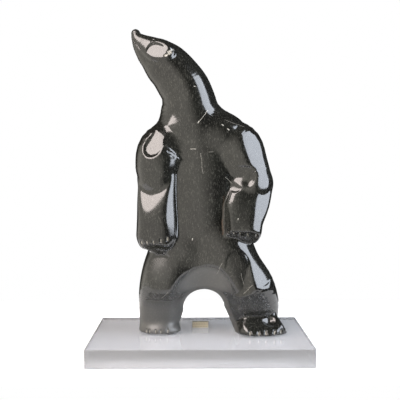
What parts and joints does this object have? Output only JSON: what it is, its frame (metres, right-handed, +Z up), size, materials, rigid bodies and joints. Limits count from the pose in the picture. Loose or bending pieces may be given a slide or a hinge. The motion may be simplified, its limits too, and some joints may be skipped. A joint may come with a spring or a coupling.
{
  "type": "stone bear sculpture on clear plinth",
  "caption": "Polished dark soapstone bear standing upright, carved from one block, on a thick clear acrylic slab plinth.",
  "frame": {"origin": "middle of the slab's underside", "axes": "+Z up, +X to the right as seen from the front, the bear's chest faces -Y"},
  "size_m": [0.305, 0.203, 0.4614],
  "materials": {
    "soapstone": "polished dark stone",
    "acrylic": "clear, polished edges",
    "brass": "satin"
  },
  "bodies": {
    "root": {"bear": "soapstone", "acrylic_slab": "acrylic", "foot_pad_left": "acrylic", "foot_pad_right": "acrylic", "nameplate": "brass"}
  },
  "joints": []
}
